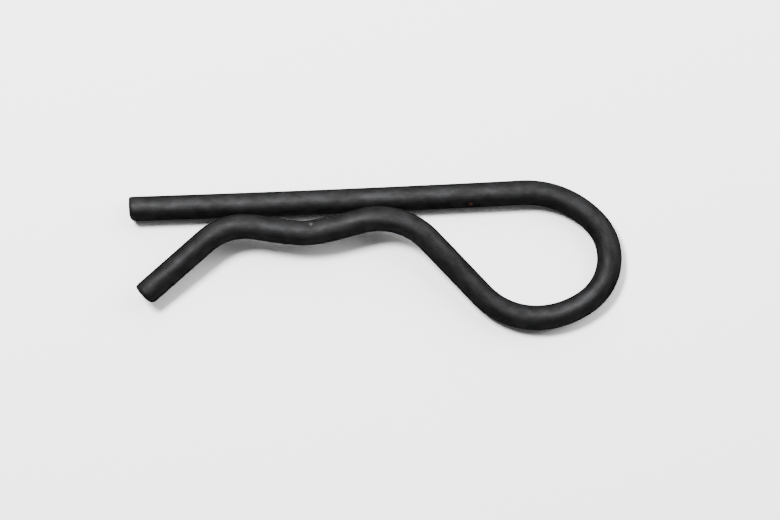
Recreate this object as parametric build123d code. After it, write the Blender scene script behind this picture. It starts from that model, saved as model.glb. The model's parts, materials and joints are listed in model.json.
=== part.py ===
"""Hairpin cotter pin: one spring-steel wire, bent cold into a clip for a cross-drilled shaft.

Frame: millimetres, +Z up. The origin is the centre of the straight leg's cut end, +X runs along
that leg towards the loop, and the waved leg lies on the -Y side. The clip lies at rest: the
straight leg and the loop are level, and the waved leg rides up over the straight one.
"""
from build123d import *
from math import atan2, copysign, cos, degrees, hypot, pi, radians, sin, sqrt
import os

# Wire
wire_diameter = 3.175
end_round = 0.4

# Straight leg, which goes through the shaft's cross hole
lead_length = 9.2
leg_length = 41.2
leg_bow = 1.0

# Loop, from the straight leg round to the waved one
shoulder_radius = 12.0
shoulder_turn = 51.2
crown_radius = 6.7
crown_turn = 95.0
underside_radius = 11.3
return_radius = 9.7
return_turn = 48.5

# Waved leg, which grips the shaft and laps over the straight leg
hump_overlap = 0.7
leg_gap = 0.1
near_hump_radius = 8.8
near_hump_turn = 61.4
near_slope_length = 4.0
saddle_radius = 14.9
saddle_turn = 23.5
far_slope_length = 3.9
far_hump_radius = 7.6
far_hump_turn = 50.0
tail_length = 10.6

# What closes the loop and bows the leg follows from the sizes above
half_turn = 180.0
wire_radius = wire_diameter / 2
bow_radius = leg_length / radians(leg_bow)
leg_rise = bow_radius * (1 - cos(radians(leg_bow / 2)))
underside_turn = half_turn + leg_bow - shoulder_turn - crown_turn


def run(tip, length):
    """A straight stretch from the tip's frame, whose X runs along the wire."""
    end = tip * Pos(X=length)
    return end, Line(tip.position, end.position)


def bend(tip, radius, turn):
    """A round stretch in the tip's XY plane: left where turn is positive, right where negative."""
    side = copysign(radius, turn)
    middle = tip * Pos(Y=side) * Rot(Z=turn / 2) * Pos(Y=-side)
    end = tip * Pos(Y=side) * Rot(Z=turn) * Pos(Y=-side)
    return end, ThreePointArc(tip.position, middle.position, end.position)


def roll(tip, angle):
    """Turn the wire about its own line, so that the bends after it leave the first plane."""
    return tip * Rot(X=angle)


def lift_over_leg(loop_bottom):
    """The roll and the diagonal that lay the near hump over the straight leg, just clear of it."""
    across = leg_rise - loop_bottom.position.Y - (wire_diameter - hump_overlap)
    height = sqrt((wire_diameter + leg_gap) ** 2 - (wire_diameter - hump_overlap) ** 2)
    turn = radians(return_turn)
    bends = (return_radius + near_hump_radius) * (1 - cos(turn))
    diagonal = (hypot(across, height) - bends) / sin(turn)
    return degrees(atan2(height, across)), diagonal


def straight_leg(tip):
    """The straight lead, then the rest of the leg with its slight bow."""
    tip, lead = run(tip, lead_length)
    tip, leg = bend(tip, bow_radius, leg_bow)
    return tip, [lead, leg]


def loop(tip):
    """Shoulder, tight crown and underside lie level; the return bend starts the waved leg's rise."""
    tip, shoulder = bend(tip, shoulder_radius, -shoulder_turn)
    tip, crown = bend(tip, crown_radius, -crown_turn)
    tip, underside = bend(tip, underside_radius, -underside_turn)
    lift, diagonal_length = lift_over_leg(tip)
    tip = roll(tip, -lift)
    tip, returning = bend(tip, return_radius, -return_turn)
    tip, diagonal = run(tip, diagonal_length)
    return tip, [shoulder, crown, underside, returning, diagonal]


def waved_leg(tip):
    """Two humps that lie over the straight leg, the shallow saddle between them, and the tail."""
    tip, near_hump = bend(tip, near_hump_radius, near_hump_turn)
    tip, near_slope = run(tip, near_slope_length)
    tip, saddle = bend(tip, saddle_radius, -saddle_turn)
    tip, far_slope = run(tip, far_slope_length)
    tip, far_hump = bend(tip, far_hump_radius, far_hump_turn)
    tip, tail = run(tip, tail_length)
    return tip, [near_hump, near_slope, saddle, far_slope, far_hump, tail]


def wire_clip():
    """The round wire along its whole line, with the rim of both cut ends rounded."""
    tip, leg = straight_leg(Location((0, 0, 0)))
    tip, ring = loop(tip)
    tip, waves = waved_leg(tip)
    line = Wire(leg + ring + waves)
    section = Plane(line @ 0, z_dir=line % 0) * Circle(wire_radius)
    wire = sweep(section, path=line)
    rims = [edge for face in wire.faces().filter_by(GeomType.PLANE) for edge in face.edges()]
    return fillet(rims, end_round), line.length


os.makedirs("parts", exist_ok=True)
clip, wire_length = wire_clip()
expected_volume = pi * wire_radius ** 2 * wire_length
print(f"wire {wire_length:.2f} mm long, volume {clip.volume:.1f} of {expected_volume:.1f} mm3")
export_step(clip, "parts/wire_clip.step")
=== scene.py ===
"""Looks of the hairpin cotter pin: drawn spring-steel wire, blackened, bent cold and cropped at both ends.

Metres, in the CAD frame: +X along the straight leg, the waved leg on -Y, +Z up.
"""
import json
from math import atan2, copysign, cos, hypot, pi, radians, sin, sqrt

import bpy
from mathutils import Matrix, Vector


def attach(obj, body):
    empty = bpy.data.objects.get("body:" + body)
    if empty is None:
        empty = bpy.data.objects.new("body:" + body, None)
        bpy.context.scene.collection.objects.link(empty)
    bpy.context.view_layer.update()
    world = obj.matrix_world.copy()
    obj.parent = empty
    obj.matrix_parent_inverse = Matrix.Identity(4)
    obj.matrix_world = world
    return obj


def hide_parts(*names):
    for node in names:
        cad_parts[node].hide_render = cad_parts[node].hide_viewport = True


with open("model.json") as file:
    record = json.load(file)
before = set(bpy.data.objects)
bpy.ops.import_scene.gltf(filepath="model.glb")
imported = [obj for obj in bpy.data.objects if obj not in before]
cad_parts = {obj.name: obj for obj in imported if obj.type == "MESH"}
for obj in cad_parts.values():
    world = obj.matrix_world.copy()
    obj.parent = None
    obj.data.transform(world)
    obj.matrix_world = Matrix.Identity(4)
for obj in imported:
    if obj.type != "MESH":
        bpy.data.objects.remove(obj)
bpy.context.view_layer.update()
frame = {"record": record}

MM = 0.001

# Wire: its radius and the way the legs lap, as the CAD has them
WIRE_RADIUS = next(m for m in frame["record"]["mounts"] if m["name"] == "leg_end")["dims"]["r_mm"] * MM
HUMP_OVERLAP = 0.7 * MM
LEG_GAP = 0.1 * MM

# Straight leg
LEAD_LENGTH = 9.2 * MM
LEG_LENGTH = 41.2 * MM
LEG_BOW = radians(1.0)

# Loop
SHOULDER_RADIUS, SHOULDER_TURN = 12.0 * MM, radians(51.2)
CROWN_RADIUS, CROWN_TURN = 6.7 * MM, radians(95.0)
UNDERSIDE_RADIUS = 11.3 * MM
UNDERSIDE_TURN = radians(180.0) + LEG_BOW - SHOULDER_TURN - CROWN_TURN
RETURN_RADIUS, RETURN_TURN = 9.7 * MM, radians(48.5)

# Waved leg
NEAR_HUMP_RADIUS, NEAR_HUMP_TURN = 8.8 * MM, radians(61.4)
NEAR_SLOPE = 4.0 * MM
SADDLE_RADIUS, SADDLE_TURN = 14.9 * MM, radians(23.5)
FAR_SLOPE = 3.9 * MM
FAR_HUMP_RADIUS, FAR_HUMP_TURN = 7.6 * MM, radians(50.0)
TAIL_LENGTH = 10.6 * MM

# Cropped ends: how far out each ring of the rim lies, as a share of the depth, and how much of the full
# radius it keeps; the lean is how far the rings shift to one side as they shrink
CROP_DEPTH = 0.8 * MM
CROP_RIM = [(0.25, 0.994), (0.45, 0.975), (0.62, 0.945), (0.76, 0.905), (0.86, 0.86), (0.93, 0.805),
            (0.965, 0.745), (0.985, 0.66), (0.995, 0.45), (1.0, 0.2)]
LEG_END_LEAN = 0.8
TAIL_END_LEAN = 0.7

# Mesh fineness, and the angle up to which faces shade as one
SIDES = 64
RING_SPACING = 0.3 * MM
SMOOTH_UP_TO = radians(40)

# Black oxide: its colours, its sheen, the sizes of its patterns along and across the wire, and where in the
# noise each pattern starts and is full
OXIDE_DARK, OXIDE_PALE, OXIDE_DRY = "#1f1f1f", "#29292a", "#3a3a3a"
METALLIC = 1.0
EDGE_TINT = "#707070"
ROUGHNESS = (0.57, 0.66)
PATCH_LENGTH, PATCH_WIDTH = 1.7 * MM, 0.9 * MM
PATCH_EDGES = (0.35, 0.65)
OIL_LENGTH, OIL_WIDTH = 2.4 * MM, 1.1 * MM
OIL_EDGES = (0.3, 0.7)
GRAIN_SIZE = 0.22 * MM
GRAIN_EDGES, GRAIN_SHARE = (0.55, 0.8), 0.3
DIE_LINE_LENGTH, DIE_LINE_WIDTH = 7.0 * MM, 0.2 * MM
ROLLER_MARK_LENGTH, ROLLER_MARK_WIDTH = 1.4 * MM, 0.25 * MM
RELIEF = 0.012 * MM

# Marks: places on the straight wire before bending, and how far each mark reaches
RUST, RUST_PLACE, RUST_REACH = "#5c3c34", Vector((43.8, -1.17, 1.07)) * MM, 0.38 * MM
# A pale spot of painted highlight in the saddle, standing for light that comes through the gap between the
# legs
SLIT_GLEAM, SLIT_GLEAM_PLACE, SLIT_GLEAM_REACH = "#555553", Vector((113.0, -1.25, 0.98)) * MM, 0.32 * MM

# Camera, straight above, turned a little so that the straight leg climbs to the right
VIEW_CENTRE = Vector((33.2, -7.7, 0)) * MM
VIEW_WIDTH = 100.1 * MM
VIEW_TURN = radians(-2.0)
LENS = 150.0
SENSOR = 36.0
NEAREST, FARTHEST = 0.01, 10.0

# Floor
FLOOR_WIDTH = 2.0
CARD, CARD_ROUGHNESS, CARD_SPECULAR = "#fdfdfc", 0.9, 0.2

# Lamps: each one's place from the middle of the view, its width and height, and its power
KEY_LAMP = ((0.05, 0.33, 0.27), (0.4, 0.42), 2.9)
SIDE_LAMP = ((0.33, 0.17, 0.27), (0.22, 0.34), 2.3)
TOP_LAMP = ((-0.14, 0.19, 0.4), (0.11, 0.09), 7.0)
ROOM_COLOUR, ROOM = "#f4f6f8", 0.12

# Sockets of the Mix node that blend two colours: its share, the colour under, the colour over, the result
SHARE, UNDER, OVER, BLENDED = 0, 6, 7, 2


def linear(hex_colour):
    """An sRGB hex colour as linear red, green, blue and alpha."""
    parts = [int(hex_colour[i:i + 2], 16) / 255 for i in (1, 3, 5)]
    return tuple(c / 12.92 if c <= 0.04045 else ((c + 0.055) / 1.055) ** 2.4 for c in parts) + (1.0,)


def add_node(tree, kind, inputs=None, **settings):
    """Add one shader node: its settings, then its inputs, each a value or another node's output."""
    node = tree.nodes.new(kind)
    for name, value in settings.items():
        setattr(node, name, value)
    for key, value in (inputs or {}).items():
        if isinstance(value, bpy.types.NodeSocket):
            tree.links.new(value, node.inputs[key])
        else:
            node.inputs[key].default_value = value
    return node


# ---------------------------------------------------------------- the wire

class Former:
    """Feeds, rolls and bends the wire's last ring, and notes where each ring stands."""

    def __init__(self, radius, start):
        self.tip = Matrix.Translation((start, 0, 0))
        self.fed = start
        bpy.ops.object.select_all(action="DESELECT")
        bpy.ops.mesh.primitive_circle_add(vertices=SIDES, radius=radius, location=(start, 0, 0),
                                          rotation=(0, pi / 2, 0))
        self.wire = bpy.context.object
        bpy.ops.object.transform_apply(location=True, rotation=True, scale=True)
        bpy.ops.object.mode_set(mode="EDIT")
        bpy.ops.mesh.select_mode(type="VERT")
        bpy.ops.mesh.select_all(action="SELECT")
        self.rings = [(self.fed, self.tip.copy())]

    def move_on(self, step, length):
        """Note the next ring, one step on from the last."""
        self.tip = self.tip @ step
        self.fed += length
        self.rings.append((self.fed, self.tip.copy()))

    def run(self, length):
        """Feed the wire straight."""
        count = max(1, round(length / RING_SPACING))
        for _ in range(count):
            along = self.tip.to_3x3() @ Vector((length / count, 0, 0))
            bpy.ops.mesh.extrude_region_move(TRANSFORM_OT_translate={"value": along})
            self.move_on(Matrix.Translation((length / count, 0, 0)), length / count)

    def bend(self, radius, turn):
        """Bend the wire in its own plane: left where turn is positive, right where negative."""
        count = max(1, round(radius * abs(turn) / RING_SPACING))
        side = copysign(radius, turn)
        centre = self.tip @ Vector((0, side, 0))
        axis = self.tip.to_3x3() @ Vector((0, 0, 1))
        bpy.ops.mesh.spin(steps=count, angle=-turn, center=centre, axis=axis)
        to_centre, back = Matrix.Translation((0, side, 0)), Matrix.Translation((0, -side, 0))
        for _ in range(count):
            self.move_on(to_centre @ Matrix.Rotation(turn / count, 4, "Z") @ back, radius * abs(turn) / count)

    def roll(self, turn):
        """Turn the wire about its own line."""
        self.tip = self.tip @ Matrix.Rotation(turn, 4, "X")


def lift_over_leg(loop_bottom):
    """The roll and the diagonal that lay the near hump over the straight leg, just clear of it."""
    leg_rise = LEG_LENGTH / LEG_BOW * (1 - cos(LEG_BOW / 2))
    across = leg_rise - loop_bottom.translation.y - (2 * WIRE_RADIUS - HUMP_OVERLAP)
    height = sqrt((2 * WIRE_RADIUS + LEG_GAP) ** 2 - (2 * WIRE_RADIUS - HUMP_OVERLAP) ** 2)
    bends = (RETURN_RADIUS + NEAR_HUMP_RADIUS) * (1 - cos(RETURN_TURN))
    return atan2(height, across), (hypot(across, height) - bends) / sin(RETURN_TURN)


def form_wire():
    """Bend the whole clip from its straight leg to its tail, leaving both ends open."""
    former = Former(WIRE_RADIUS, CROP_DEPTH)
    former.run(LEAD_LENGTH - CROP_DEPTH)
    former.bend(LEG_LENGTH / LEG_BOW, LEG_BOW)
    former.bend(SHOULDER_RADIUS, -SHOULDER_TURN)
    former.bend(CROWN_RADIUS, -CROWN_TURN)
    former.bend(UNDERSIDE_RADIUS, -UNDERSIDE_TURN)
    lift, diagonal = lift_over_leg(former.tip)
    former.roll(-lift)
    former.bend(RETURN_RADIUS, -RETURN_TURN)
    former.run(diagonal)
    former.bend(NEAR_HUMP_RADIUS, NEAR_HUMP_TURN)
    former.run(NEAR_SLOPE)
    former.bend(SADDLE_RADIUS, -SADDLE_TURN)
    former.run(FAR_SLOPE)
    former.bend(FAR_HUMP_RADIUS, FAR_HUMP_TURN)
    former.run(TAIL_LENGTH - CROP_DEPTH)
    return former


def crop_end(former, place, fed, outward, lean):
    """Close the selected ring as a cropping blade leaves it: one side rolled over, the other square."""
    kept, out, sideways = 1.0, 0.0, 0.0
    for depth, share in CROP_RIM:
        new_out = depth * CROP_DEPTH
        new_sideways = lean * (1 - share) * WIRE_RADIUS
        shift = place.to_3x3() @ Vector((outward * (new_out - out), new_sideways - sideways, 0))
        centre = place @ Vector((outward * new_out, new_sideways, 0))
        bpy.ops.mesh.extrude_region_move(TRANSFORM_OT_translate={"value": shift})
        bpy.ops.transform.resize(value=(share / kept,) * 3, center_override=centre)
        former.rings.append((fed, place.copy()))
        kept, out, sideways = share, new_out, new_sideways
    bpy.ops.mesh.edge_face_add()


def select_first_ring():
    """Select the open ring that the wire started from."""
    bpy.ops.mesh.select_all(action="DESELECT")
    bpy.ops.mesh.select_non_manifold(extend=False, use_boundary=True, use_wire=False, use_multi_face=False)


def note_drawn_places(wire, rings):
    """Store on each point its place on the straight wire, before bending, for patterns that follow it."""
    places = wire.data.attributes.new("drawn", "FLOAT_VECTOR", "POINT")
    for index, vertex in enumerate(wire.data.vertices):
        fed, place = rings[index // SIDES]
        local = place.inverted() @ vertex.co
        places.data[index].vector = (fed + local.x, local.y, local.z)


def make_clip():
    """The whole clip as one closed mesh."""
    former = form_wire()
    tail_place, tail_fed = former.tip.copy(), former.fed
    crop_end(former, tail_place, tail_fed, 1, -TAIL_END_LEAN)
    select_first_ring()
    crop_end(former, Matrix.Translation((CROP_DEPTH, 0, 0)), CROP_DEPTH, -1, LEG_END_LEAN)
    bpy.ops.mesh.select_all(action="SELECT")
    bpy.ops.mesh.normals_make_consistent(inside=False)
    bpy.ops.object.mode_set(mode="OBJECT")
    clip = former.wire
    clip.name = "formed_wire"
    note_drawn_places(clip, former.rings)
    bpy.ops.object.shade_smooth_by_angle(angle=SMOOTH_UP_TO)
    return clip


# ---------------------------------------------------------------- finishes

def drawn_pattern(tree, drawn, length, width, detail):
    """Unevenness that follows the wire: features so long and so wide, in metres."""
    mapping = add_node(tree, "ShaderNodeMapping", {"Vector": drawn,
                                                   "Scale": (1 / length, 1 / width, 1 / width)})
    texture = add_node(tree, "ShaderNodeTexNoise", {"Vector": mapping.outputs["Vector"], "Scale": 1.0,
                                                    "Detail": detail})
    return texture.outputs["Fac"]


def rust_and_gleam_spot(tree, drawn, place, reach, colour, under):
    """A spot of one colour over another, strongest at its middle: used for a rust speck and for a pale spot
    of painted highlight.
    """
    away = add_node(tree, "ShaderNodeVectorMath", {0: drawn, 1: place}, operation="DISTANCE")
    share = add_node(tree, "ShaderNodeMapRange", {"Value": away.outputs["Value"], "From Max": reach,
                                                  "To Min": 1.0, "To Max": 0.0})
    spotted = add_node(tree, "ShaderNodeMix", {SHARE: share.outputs["Result"], UNDER: under,
                                            OVER: linear(colour)}, data_type="RGBA")
    return spotted.outputs[BLENDED]


def black_oxide_steel():
    """Black oxide, oiled, over hard-drawn spring wire: charcoal, satin, faint lengthwise die lines."""
    material = bpy.data.materials.new("black_oxide_spring_steel")
    material.use_nodes = True
    tree = material.node_tree
    shader = tree.nodes["Principled BSDF"]
    drawn = add_node(tree, "ShaderNodeAttribute", attribute_name="drawn").outputs["Vector"]

    # Oxide takes unevenly: grey patches a millimetre or two long on a near-black ground
    patches = drawn_pattern(tree, drawn, PATCH_LENGTH, PATCH_WIDTH, detail=4.0)
    spread = add_node(tree, "ShaderNodeMapRange", {"Value": patches, "From Min": PATCH_EDGES[0],
                                                   "From Max": PATCH_EDGES[1]})
    ground = add_node(tree, "ShaderNodeMix", {SHARE: spread.outputs["Result"], UNDER: linear(OXIDE_DARK),
                                              OVER: linear(OXIDE_PALE)}, data_type="RGBA")
    # Dry salts left in the oxide show as a fine speckle, drawn coarser than the real grain
    grain = drawn_pattern(tree, drawn, GRAIN_SIZE, GRAIN_SIZE, detail=2.0)
    speckle = add_node(tree, "ShaderNodeMapRange", {"Value": grain, "From Min": GRAIN_EDGES[0],
                                                    "From Max": GRAIN_EDGES[1], "To Max": GRAIN_SHARE})
    speckled = add_node(tree, "ShaderNodeMix", {SHARE: speckle.outputs["Result"],
                                                UNDER: ground.outputs[BLENDED],
                                                OVER: linear(OXIDE_DRY)}, data_type="RGBA")
    # A speck of rust on the straight leg, and a pale spot of painted highlight in the saddle, where light
    # comes through the gap between the legs
    rusted = rust_and_gleam_spot(tree, drawn, RUST_PLACE, RUST_REACH, RUST, speckled.outputs[BLENDED])
    gleamed = rust_and_gleam_spot(tree, drawn, SLIT_GLEAM_PLACE, SLIT_GLEAM_REACH, SLIT_GLEAM, rusted)
    tree.links.new(gleamed, shader.inputs["Base Color"])

    # Oil lies thinner on some patches, so the gloss wanders with a patch size of its own
    oil = drawn_pattern(tree, drawn, OIL_LENGTH, OIL_WIDTH, detail=3.0)
    gloss = add_node(tree, "ShaderNodeMapRange", {"Value": oil, "From Min": OIL_EDGES[0],
                                                  "From Max": OIL_EDGES[1],
                                                  "To Min": ROUGHNESS[0], "To Max": ROUGHNESS[1]})
    tree.links.new(gloss.outputs["Result"], shader.inputs["Roughness"])
    shader.inputs["Metallic"].default_value = METALLIC
    shader.inputs["Specular Tint"].default_value = linear(EDGE_TINT)

    # Die lines run the whole length and are drawn coarser than real ones; the straightener's rollers leave
    # short marks across them
    die_lines = drawn_pattern(tree, drawn, DIE_LINE_LENGTH, DIE_LINE_WIDTH, detail=2.0)
    roller_marks = drawn_pattern(tree, drawn, ROLLER_MARK_WIDTH, ROLLER_MARK_LENGTH, detail=2.0)
    relief = add_node(tree, "ShaderNodeMath", {0: die_lines, 1: roller_marks}, operation="ADD")
    relief = add_node(tree, "ShaderNodeMath", {0: relief.outputs[0], 1: grain}, operation="ADD")
    bump = add_node(tree, "ShaderNodeBump", {"Height": relief.outputs[0], "Strength": 1.0,
                                             "Distance": RELIEF})
    tree.links.new(bump.outputs["Normal"], shader.inputs["Normal"])
    return material


def white_card():
    """Plain matt white card for the floor."""
    material = bpy.data.materials.new("white_card")
    material.use_nodes = True
    shader = material.node_tree.nodes["Principled BSDF"]
    shader.inputs["Base Color"].default_value = linear(CARD)
    shader.inputs["Roughness"].default_value = CARD_ROUGHNESS
    shader.inputs["Specular IOR Level"].default_value = CARD_SPECULAR
    return material


# ---------------------------------------------------------------- the setting

def set_floor():
    """A large card under the clip."""
    bpy.ops.object.select_all(action="DESELECT")
    bpy.ops.mesh.primitive_plane_add(size=FLOOR_WIDTH, location=(VIEW_CENTRE.x, VIEW_CENTRE.y, -WIRE_RADIUS))
    floor = bpy.context.object
    floor.name = "floor"
    floor.data.materials.append(white_card())


def set_camera():
    """Camera straight above the clip."""
    data = bpy.data.cameras.new("camera")
    data.lens, data.sensor_width = LENS, SENSOR
    data.clip_start, data.clip_end = NEAREST, FARTHEST
    camera = bpy.data.objects.new("camera", data)
    bpy.context.scene.collection.objects.link(camera)
    camera.location = VIEW_CENTRE + Vector((0, 0, VIEW_WIDTH * LENS / SENSOR))
    camera.rotation_euler = (0, 0, VIEW_TURN)
    bpy.context.scene.camera = camera


def add_softbox(name, place, size, watts):
    """A soft light of so wide and so high, at a place in metres, aimed at the clip."""
    data = bpy.data.lights.new(name, "AREA")
    data.shape, data.energy = "RECTANGLE", watts
    data.size, data.size_y = size
    light = bpy.data.objects.new(name, data)
    bpy.context.scene.collection.objects.link(light)
    light.location = VIEW_CENTRE + Vector(place)
    light.rotation_euler = Vector(place).to_track_quat("Z", "Y").to_euler()


def set_lights():
    """A tall soft key beyond the straight leg, a lamp off the loop's crown, a small high one, a dim room."""
    add_softbox("key", *KEY_LAMP)
    add_softbox("side", *SIDE_LAMP)
    add_softbox("top", *TOP_LAMP)
    world = bpy.data.worlds.new("room")
    bpy.context.scene.world = world
    world.use_nodes = True
    world.node_tree.nodes["Background"].inputs["Color"].default_value = linear(ROOM_COLOUR)
    world.node_tree.nodes["Background"].inputs["Strength"].default_value = ROOM


set_camera()
set_floor()
set_lights()
clip = make_clip()
clip.data.materials.append(black_oxide_steel())
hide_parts("wire_clip")
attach(clip, "root")
